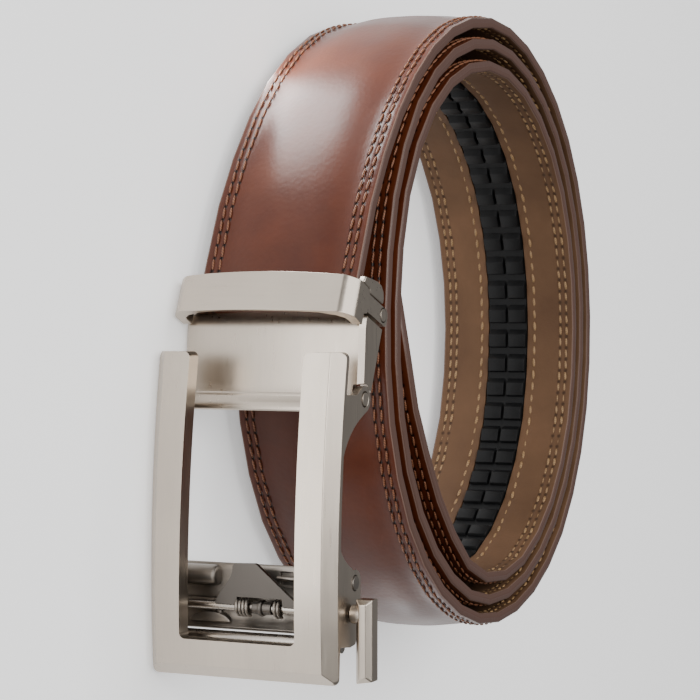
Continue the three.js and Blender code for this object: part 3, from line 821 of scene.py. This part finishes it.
def reshape(obj, moved):
    """Moves every point of a piece by a rule in the drawing's frame."""
    pick(obj)
    bpy.ops.object.mode_set(mode="EDIT")
    shell = bmesh.from_edit_mesh(obj.data)
    for vert in shell.verts:
        vert.co = place(*moved(*in_drawing(vert)))
    bmesh.update_edit_mesh(obj.data)
    bpy.ops.object.mode_set(mode="OBJECT")


def plan_shape(name, outline, front, back):
    """An outline seen from the buckle's front, in X and Z, given its depth."""
    return ring_piece(name, [place(x, front, z) for x, z in outline], (0, (back - front) * MM, 0))


def front_y(x):
    share = min(max((x - FRAME_TOP) / (FRAME_FOOT - FRAME_TOP), 0), 1)
    return FRAME_TOP_Y + (FRAME_FOOT_Y - FRAME_TOP_Y) * share - FRAME_BOW * 4 * share * (1 - share)


def frame_face():
    """The open frame, cut flat, divided along its length and then bowed."""
    corner = 1.2
    window = (
        [(FRAME_TOP, WINDOW_HALF)]
        + arc(WINDOW_FOOT - corner, WINDOW_HALF - corner, corner, 90, 0, 6)
        + arc(WINDOW_FOOT - corner, -WINDOW_HALF + corner, corner, 0, -90, 6)
        + [(FRAME_TOP, -WINDOW_HALF)]
    )
    outline = [
        (FRAME_TOP, -FRAME_HALF), (FRAME_FOOT, -FRAME_HALF), (FRAME_FOOT, FRAME_HALF), (FRAME_TOP, FRAME_HALF),
    ]
    obj = plan_shape("frame_face", outline + window, 0, FRAME_THICK)
    slice_at(obj, [FRAME_TOP + 3 * i for i in range(1, 19)])
    side = FRAME_HALF - 0.01

    def outer_rim(a, b, edge):
        if a.y > 0.01 or b.y > 0.01:
            return False
        beside = abs(a.z) > side and abs(b.z) > side and a.z * b.z > 0
        foot = a.x > FRAME_FOOT - 0.01 and b.x > FRAME_FOOT - 0.01
        return beside or foot

    def through(a, b, x, half):
        return abs(a.y - b.y) > 0.5 and all(abs(p.x - x) < 0.01 and abs(abs(p.z) - half) < 0.01 for p in (a, b))

    bevel_where(obj, FACE_CHAMFER, 1, outer_rim)
    bevel_where(obj, 1.4, 5, lambda a, b, edge: through(a, b, FRAME_FOOT, FRAME_HALF))
    bevel_where(obj, 1.3, 5, lambda a, b, edge: (
        through(a, b, FRAME_TOP, WINDOW_HALF) or through(a, b, FRAME_TOP, FRAME_HALF)))
    bevel_where(obj, 0.75, 4, lambda a, b, edge: 30 < math.degrees(edge.calc_face_angle(0)) < 63)

    def bowed(x, y, z):
        """The arms bow forward, the foot is thinner, and the left arm opens a little towards the foot."""
        share = (x - FRAME_TOP) / (FRAME_FOOT - FRAME_TOP)
        thin = FRAME_THICK - FOOT_THICK if x > WINDOW_FOOT - 0.5 and y > FOOT_THICK else 0
        inner = min(max((z + FRAME_HALF) / (FRAME_HALF - WINDOW_HALF), 0), 1) * min(max((4 - z) / 16, 0), 1)
        lean = 0.5 * (1 - share) * min(max((z + 4) / 16, 0), 1)
        return x, y + front_y(x) - thin, z + lean - share * 0.7 * inner - 0.12 * share * (z < 0)

    reshape(obj, bowed)
    outward(obj)
    soften(obj, 0.45, 4, 50)
    return obj


def upper_flange():
    x, y = HINGE
    foot = 40
    end = (foot, front_y(foot) + IN_ARM)
    start = arc(x, y, EAR, 205, 22)
    stroke = curve_points(
        start[-1], (x + EAR * 1.6, y - EAR * 1.2), (x + EAR * 2.5, front_y(x + 8) + FRAME_THICK), end,
    )
    return [(x - 1.2, front_y(x) + IN_ARM), (x - 1.0, y - 3.6)] + start + stroke


def lower_flange():
    top, foot = 47.5, 69
    x, y = STUB
    first = (top, front_y(top) + IN_ARM)
    last = (x - EAR, y - 0.8)
    stroke = curve_points(
        first, (top + 3.9, front_y(top) + FRAME_THICK * 1.17), (x - EAR * 1.5, y - EAR * 1.4), last,
    )
    return [first] + stroke + arc(x, y, EAR, 180, 90, 8) + [
        (AXLE[0] + 1.6, y + EAR - 0.2),
        (foot, ROLLER[1] + 1.6),
        (foot + 0.3, ROLLER[1] - 0.8),
        (foot - 0.4, front_y(foot) + IN_ARM),
    ]


def frame_piece():
    parts = [frame_face()]
    for outline, holes in ((upper_flange(), [(HINGE, 1.6)]), (lower_flange(), [(STUB, 1.6), (AXLE, 1.2)])):
        for low, high in ((-FRAME_HALF + 0.1, -FRAME_HALF + FLANGE), (FRAME_HALF - FLANGE, FRAME_HALF - 0.1)):
            wall = side_shape("flange", outline, low, high)
            for (x, y), radius in holes:
                drill(wall, x, y, radius, low - 1, high + 1)
            soften(wall, 0.3, 3, 35)
            parts.append(wall)
    whole = merge("frame_casting", parts)
    smooth(whole, 32)
    weigh(whole)
    return whole


dress(frame_piece(), satin, "frame", "satin_metal", "buckle_frame")


# Clip bar and clamp
def clip_outline(*pairs):
    return [tuple(clip_point(down, back)) for down, back in pairs]


def in_clip(x, y):
    """How far down the clip and back from its seam a point lies."""
    away = Vector((x, y)) - Vector(CLIP_CENTRE)
    along = Vector((math.cos(CLIP_TILT), -math.sin(CLIP_TILT)))
    inward = Vector((math.sin(CLIP_TILT), math.cos(CLIP_TILT)))
    return away.dot(along), away.dot(inward)


def clip_block(name, outline, top, foot):
    """A shape seen from the end of the strap, in Z and back, pulled down the clip."""
    points = [place(*clip_point(top, back), z) for z, back in outline]
    step = (clip_point(foot, 0) - clip_point(top, 0)) * MM
    return ring_piece(name, points, (step.x, step.y, 0))


def mirrored(pairs):
    return pairs + [(-z, back) for z, back in reversed(pairs)]


def clip_bar_piece():
    wide = CLIP_HALF
    swell = [(z, -7.15 - 0.95 * (1 - (z / 17.8) ** 2)) for z in (15, 12, 9, 6, 3, 1)]
    body = clip_block("bar", mirrored([(wide, -0.9), (wide, -5.0), (wide - 2.1, -7.15)] + swell), -0.8, 7.0)

    def upright(a, b, edge):
        beside = abs(a.z - b.z) < 0.01 and abs(a.z) > wide - 2.2
        return beside and all(in_clip(p.x, p.y)[1] < -4.5 for p in (a, b))

    def top_rim(a, b, edge):
        return all(in_clip(p.x, p.y)[0] < -0.79 and in_clip(p.x, p.y)[1] < -4.2 for p in (a, b))

    def foot_rim(a, b, edge):
        return all(in_clip(p.x, p.y)[0] > 6.99 and in_clip(p.x, p.y)[1] < -4.2 for p in (a, b))

    bevel_where(body, 0.8, 3, upright)
    bevel_where(body, 1.0, 4, top_rim)
    bevel_where(body, 0.3, 2, foot_rim)
    carve(body, clip_block("channel", mirrored([(17.9, 1.0), (17.9, -2.95)]), -3, 4.9))
    hollow = [(17.9, 1.0), (17.9, -2.95), (17.7, -4.0), (16.4, -5.35), (13.1, -6.75), (8.9, -7.25), (3, -7.4)]
    carve(body, clip_block("hollow", mirrored(hollow), 1.6, 9))

    def lift(x, y, z):
        down, back = in_clip(x, y)
        rise = 0.5 * (1 - (z / 19) ** 2) if down < 1 and abs(z) < 19 else 0
        return (*clip_point(down - rise, back), z)

    reshape(body, lift)
    cheek = clip_outline(
        (-0.7, -3.9), (5.7, -3.9), (4.2, 0.3), (3.7, 0.6), (3.2, 9.35), (2.6, 9.85), (1.0, 9.95), (0.2, 9.6),
        (-0.3, 8.75), (0.1, 0.3), (-0.7, -0.3),
    )
    pin_at = clip_point(*CLAMP_PIN)
    for low, high in ((-wide + 0.03, -wide + CHEEK), (wide - CHEEK, wide - 0.03)):
        wall = side_shape("cheek", cheek, low, high)
        drill(wall, pin_at.x, pin_at.y, 1.55, low - 1, high + 1)
        unite(body, wall)
    body.name = body.data.name = "clip_bar_casting"
    soften(body, 0.2, 2, 50)
    smooth(body, 32)
    weigh(body)
    return body


dress(clip_bar_piece(), satin_across, "strap", "satin_metal", "clip_bar")


def clamp_piece():
    """The clamp: a toothed jaw behind the lining, a bridge and two cheeks that wrap the strap's edges."""
    jaw = side_shape("jaw", clip_outline(
        (-3.2, 2.1), (-2.6, 1.4), (-2.0, 2.1), (-1.4, 1.4), (-0.8, 2.1), (1.7, 2.6), (3.2, 6.7), (3.2, 9.0),
        (1.3, 9.75), (-1.9, 7.45), (-4.1, 5.25), (-3.9, 3.1),
    ), -16.4, 16.4)
    across = clip_outline((-3.5, 3.1), (-0.4, 3.1), (-0.65, 5.3), (-3.5, 5.3))
    bridge = side_shape("bridge", across, -18.5, 18.5)
    cheek = clip_outline(
        (-2.6, -2.5), (-1.1, -3.0), (-1.1, 0.1), (-0.25, 0.75), (-0.75, 7.2), (-2.0, 7.1), (-3.2, 6.4),
        (-4.0, 5.0), (-3.95, 3.0),
    )
    pin_at = clip_point(*CLAMP_PIN)
    drill(jaw, pin_at.x, pin_at.y, 1.55, -17, 17)
    for part in (jaw, bridge):
        soften(part, 0.2, 2, 35)
    parts = [jaw, bridge]
    for low, high in ((-CLIP_HALF + 0.1, -CLIP_HALF + CHEEK), (CLIP_HALF - CHEEK, CLIP_HALF - 0.1)):
        wall = side_shape("cheek", cheek, low, high)
        soften(wall, 0.3, 3, 35)
        parts.append(wall)
    whole = merge("clamp_casting", parts)
    smooth(whole, 32)
    weigh(whole)
    return whole


dress(clamp_piece(), satin_across, "strap", "satin_metal", "strap_clamp")


# Hinge plate
PLATE_LINE = [
    (4.6, -54.7), (6.2, -55.35), (8, -55.75), (12, -56.05), (16, -56.35), (18.6, -56.6), (19.8, -56.85),
    (20.8, -57.2), (21.6, -57.65), (22.3, -58.2), (22.9, -58.65), (23.4, -58.85), (23.9, -58.75), (24.2, -58.4),
]


def plate_y(x):
    for (x0, y0), (x1, y1) in zip(PLATE_LINE, PLATE_LINE[1:]):
        if x <= x1 + 0.001:
            return y0 + (y1 - y0) * (x - x0) / (x1 - x0)
    return PLATE_LINE[-1][1]


def hinge_plate_piece():
    wide, fold, far = CLIP_HALF, 1.0, 100
    ring = mirrored([
        (wide, far), (wide, fold), (wide - fold, 0.0), (6.0, 0.0),
    ])
    inner = mirrored([(wide - CHEEK, far), (wide - CHEEK, 2.1), (wide - CHEEK - 0.6, 1.4), (6.0, 1.4)])
    top, foot = PLATE_LINE[0][0], PLATE_LINE[-1][0]
    points = [place(top, depth, z) for z, depth in ring + inner[::-1]]
    plate = ring_piece("plate", points, ((foot - top) * MM, 0, 0))
    slice_at(plate, [x for x, y in PLATE_LINE[1:-1]])

    def folded(x, depth, z):
        if depth > far / 2:
            share = (x - top) / (18.6 - top)
            return 8.2 + share * 12.2, -46.9 - share * 5.3, z
        outer = abs(z) > wide - fold - 0.5 and x < top + 0.1
        return x + (1.0 if outer else 0.0), plate_y(x) + depth, z

    reshape(plate, folded)
    x, y = HINGE
    beyond = [(18.9, -62)] + arc(x, y, 3.1, 207, 120, 12) + [(20.6, -52.0), (21.5, -40), (40, -40), (40, -62)]
    for low, high in ((wide - CHEEK - 0.4, wide + 1), (-wide - 1, -wide + CHEEK + 0.4)):
        carve(plate, side_shape("notch", beyond, low, high))
    outward(plate)
    soften(plate, 0.25, 3, 35)
    barrel = round_bar("barrel", x, y, 1.9, -17.9, 17.9)
    lug = clip_outline((1.8, 5.6), (8.8, 1.2), (9.4, 5.6), (1.8, 10.1))
    pin_at = clip_point(*CLAMP_PIN)
    parts = [plate, barrel]
    for low, high in ((-18.1, -16.7), (16.7, 18.1)):
        wall = side_shape("lug", lug, low, high)
        drill(wall, pin_at.x, pin_at.y, 1.55, low - 1, high + 1)
        soften(wall, 0.2, 2, 35)
        parts.append(wall)
    whole = merge("hinge_plate_pressing", parts)
    smooth(whole, 32)
    weigh(whole)
    return whole


dress(hinge_plate_piece(), satin, "strap", "satin_metal", "hinge_plate")


# Pins
def pin_piece(name, x, y, radius, low, high, body, node, surface):
    obj = round_bar(name, x, y, radius, low, high, 48, 0.35)
    smooth(obj, 30)
    weigh(obj)
    dress(obj, surface, body, "steel", node)


clamp_pin_at = clip_point(*CLAMP_PIN)
pin_piece("clamp_rivet", clamp_pin_at.x, clamp_pin_at.y, 1.4, -20.05, 20.05, "strap", "clamp_pin", satin)
pin_piece("hinge_rivet_low", *HINGE, 1.4, -20.4, -15.0, "strap", "hinge_pin_low", satin)
pin_piece("hinge_rivet_high", *HINGE, 1.4, 15.0, 20.4, "strap", "hinge_pin_high", satin)
pin_piece("release_rod", *AXLE, 0.9, -20.2, 23.8, "release", "release_axle", steel)
pin_piece("roller_rod", *ROLLER, 1.5, -18.2, 18.2, "frame", "roller_bar", steel)


def stub_piece(name, node, side):
    """A stub with a domed rivet head outside the frame and a wider round nose inside it."""
    x, y = STUB
    low, high = sorted((side * 17.6, side * 20.5))
    head = round_bar("head", x, y, 1.5, low, high, 48, 0.4)
    low, high = sorted((side * 9.6, side * 18.3))
    nose = round_bar("nose", x, y, 2.1, low, high, 48, 0.9)
    obj = merge(name, [head, nose])
    smooth(obj, 30)
    weigh(obj)
    dress(obj, scuffed, "frame", "steel", node)


stub_piece("stub_low", "stub_pin_low", -1)
stub_piece("stub_high", "stub_pin_high", 1)


# Ratchet mechanism
def back_plate_piece():
    profile = [
        (54.6, -58.9), (55.2, -59.35), (56.2, -59.4), (64.6, -59.4), (66.0, -59.9), (67.2, -61.0),
        (67.8, -60.5), (66.5, -59.1), (65.0, -58.5), (55.2, -58.4), (54.7, -58.5),
    ]
    plate = side_shape("plate", profile, -18.2, 18.2)
    punched = plan_shape("punched", [(55.9, 3.6), (58.7, 3.6), (58.7, 6.4), (55.9, 6.4)], -62, -58.75)
    carve(plate, punched)
    soften(plate, 0.2, 2, 35)
    rib = round_bar("rib", 62.2, -59.6, 0.75, -17.6, -9.0, 32, 0.3)
    tab = round_bar("bent_tab", 57.2, -59.5, 0.5, 2.9, 7.0, 24, 0.2)
    turns = [math.pi * (i / 14 - 0.5) for i in range(15)]
    oval = [(66.4 - 2.2 * math.cos(a), -11.5 + 4.6 * math.sin(a)) for a in turns]
    lip = plan_shape("lip", oval, -61.0, -59.2)
    soften(lip, 0.3, 3, 35)
    whole = merge("back_plate_pressing", [plate, rib, tab, lip])
    smooth(whole, 32)
    weigh(whole)
    return whole


dress(back_plate_piece(), scuffed, "frame", "steel", "back_plate")


def pawl_piece():
    """A flared blade over two folded ears on the axle, with a sleeve between the springs."""
    flank = [
        (62.3, -9.3), (61.4, -8.95), (60.2, -8.15), (58.9, -7.1), (57.6, -6.05), (56.6, -5.35), (55.6, -5.0),
    ]
    outline = flank + [
        (54.6, -4.85), (54.15, -4.5), (54.0, -4.0), (53.9, 0.1), (54.05, 0.5), (54.5, 0.95), (61.7, 9.15),
        (62.3, 9.3), (62.3, 5.7), (60.7, 5.6), (60.7, -4.3), (62.3, -4.4),
    ]
    blade = plan_shape("blade", outline, 0, 1.0)
    slice_at(blade, [56, 58, 60])
    bevel_where(blade, 0.35, 1, lambda a, b, edge: (
        a.y < 0.01 and b.y < 0.01 and min(a.z, b.z) > 0.8 and max(a.x, b.x) < 61.8 and abs(a.z - b.z) > 0.5))
    reshape(blade, lambda x, y, z: (x, y - 63.35 - 0.95 * (62.3 - x) / 8.4, z + 0.3))
    soften(blade, 0.14, 2, 35)
    parts = [blade]
    x, y = AXLE
    for low, high in ((-9.2, -8.1), (8.1, 9.2)):
        hook = [(x - 1.6, y - 1.0), (x - 1.05, y - 1.0)]
        hook += arc(x, y, 1.0, 180, 0, 10) + arc(x, y, 1.6, 0, 160, 12)
        ear = side_shape("ear", hook, low, high)
        soften(ear, 0.12, 2, 35)
        parts.append(ear)
    parts.append(round_bar("sleeve", x, y, 1.3, -0.9, 3.4, 36, 0.3))
    parts.append(round_bar("collar", x, y, 1.65, 0.5, 1.5, 36, 0.25))
    whole = merge("pawl_pressing", parts)
    smooth(whole, 32)
    weigh(whole)
    return whole


dress(pawl_piece(), dark_steel, "release", "steel", "pawl")


def spring_piece(name, node, low, turns):
    """Wire wound round the axle, its ends closed."""
    wire, radius = 0.32, 1.62
    clear_selection()
    bpy.ops.mesh.primitive_circle_add(vertices=10, radius=wire * MM, fill_type="NOTHING")
    obj = bpy.context.object
    obj.name = name
    bpy.ops.object.mode_set(mode="EDIT")
    bpy.ops.mesh.select_all(action="SELECT")
    bpy.ops.transform.rotate(value=math.radians(90), orient_axis="X", center_override=(0, 0, 0))
    bpy.ops.transform.translate(value=(radius * MM, 0, 0))
    bpy.ops.object.mode_set(mode="OBJECT")
    finish_modifier(
        obj, "SCREW", axis="Z", angle=math.tau, screw_offset=0.74 * MM, iterations=turns,
        steps=24, render_steps=24, use_merge_vertices=True,
    )
    pick(obj)
    bpy.ops.object.mode_set(mode="EDIT")
    bpy.ops.mesh.select_all(action="SELECT")
    bpy.ops.mesh.fill_holes(sides=12)
    bpy.ops.mesh.select_all(action="SELECT")
    bpy.ops.transform.translate(value=place(AXLE[0], AXLE[1], low + wire))
    bpy.ops.mesh.normals_make_consistent(inside=False)
    bpy.ops.object.mode_set(mode="OBJECT")
    smooth(obj, 40)
    dress(obj, scuffed, "frame", "steel", node)


spring_piece("coil_spring_low", "spring_low", -4.9, 4)
spring_piece("coil_spring_high", "spring_high", 3.5, 2)


# Release lever
def lever_piece():
    x, y = AXLE
    front, rear = y - 1.9, y + 1.8
    outline = [(x - 3.0, front), (x - 3.0, rear), (x + 13.4, rear), (x + 13.4, front)]
    bar = side_shape("lever", outline, 21.7, 25.1)
    bevel_where(bar, 0.95, 1, lambda a, b, edge: a.y < front + 0.01 and b.y < front + 0.01)
    reshape(bar, lambda px, py, pz: (px - (0.6 if px > x + 5 and pz > 23.7 else 0), py, pz))
    soften(bar, 0.2, 3, 30)
    boss = round_bar("boss", x, y, 1.9, 20.6, 22.8)
    whole = merge("lever_casting", [bar, boss])
    smooth(whole, 32)
    weigh(whole)
    return whole


dress(lever_piece(), satin, "release", "satin_metal", "release_lever")


# Floor, light and camera
def studio():
    clear_selection()
    bpy.ops.mesh.primitive_plane_add(size=6, location=(0, 0, -0.0002))
    floor = bpy.context.object
    floor.name = "studio_floor"
    surface, nodes, links, shader = new_surface("studio_floor")
    shader.inputs["Base Color"].default_value = (0.9, 0.9, 0.9, 1)
    shader.inputs["Roughness"].default_value = 0.9
    shader.inputs["Emission Color"].default_value = (1, 1, 1, 1)
    shader.inputs["Emission Strength"].default_value = 0.45
    floor.data.materials.append(surface)
    world = bpy.data.worlds.new("studio")
    world.use_nodes = True
    world.node_tree.nodes["Background"].inputs[0].default_value = (1, 1, 1, 1)
    world.node_tree.nodes["Background"].inputs[1].default_value = 0.22
    bpy.context.scene.world = world


def lamp(name, at, aim, size, power):
    data = bpy.data.lights.new(name, "AREA")
    data.shape = "RECTANGLE"
    data.size, data.size_y = size
    data.energy = power
    obj = bpy.data.objects.new(name, data)
    bpy.context.collection.objects.link(obj)
    obj.location = at
    obj.rotation_euler = (Vector(aim) - Vector(at)).to_track_quat("-Z", "Y").to_euler()
    return obj


def floor_panel(name, x, y, size, power):
    """A light flush with the floor and facing up, seen only as sheen in the leather and metal."""
    obj = lamp(name, (x, y, 0.0004), (x, y, 1), size, power)
    obj.visible_camera = False


studio()
lamp("front", (-0.25, -0.9, 0.75), (0, 0, 0.02), (0.7, 0.7), 9)
lamp("over", (-0.35, -0.05, 0.95), (0, 0, 0.02), (1.1, 1.1), 11)
floor_panel("coil_sheen", -0.088, -0.047, (0.07, 0.036), 0.14)
floor_panel("buckle_sheen", 0.015, -0.15, (0.1, 0.07), 0.055)
floor_panel("foot_sheen", 0.135, 0.02, (0.05, 0.04), 0.012)


def set_camera():
    """The camera stands where the photograph's stood, with the belt's width upright in the picture."""
    focal_pixels, picture_pixels, sensor = 2155, 700, 36
    data = bpy.data.cameras.new("camera")
    data.lens = focal_pixels * sensor / picture_pixels
    data.sensor_width = sensor
    camera = bpy.data.objects.new("camera", data)
    bpy.context.collection.objects.link(camera)
    bpy.context.scene.camera = camera
    back = Vector((-0.0175, -0.9062, 0.4226)).normalized()
    right = Vector((0, 0.4226, 0.9063)).normalized()
    turn = Matrix((right, back.cross(right), back)).transposed().to_4x4()
    turn.translation = place(4.7, -437.7, 195.1)
    camera.matrix_world = turn


set_camera()
bpy.data.objects.remove(coil_path, do_unlink=True)
clear_selection()
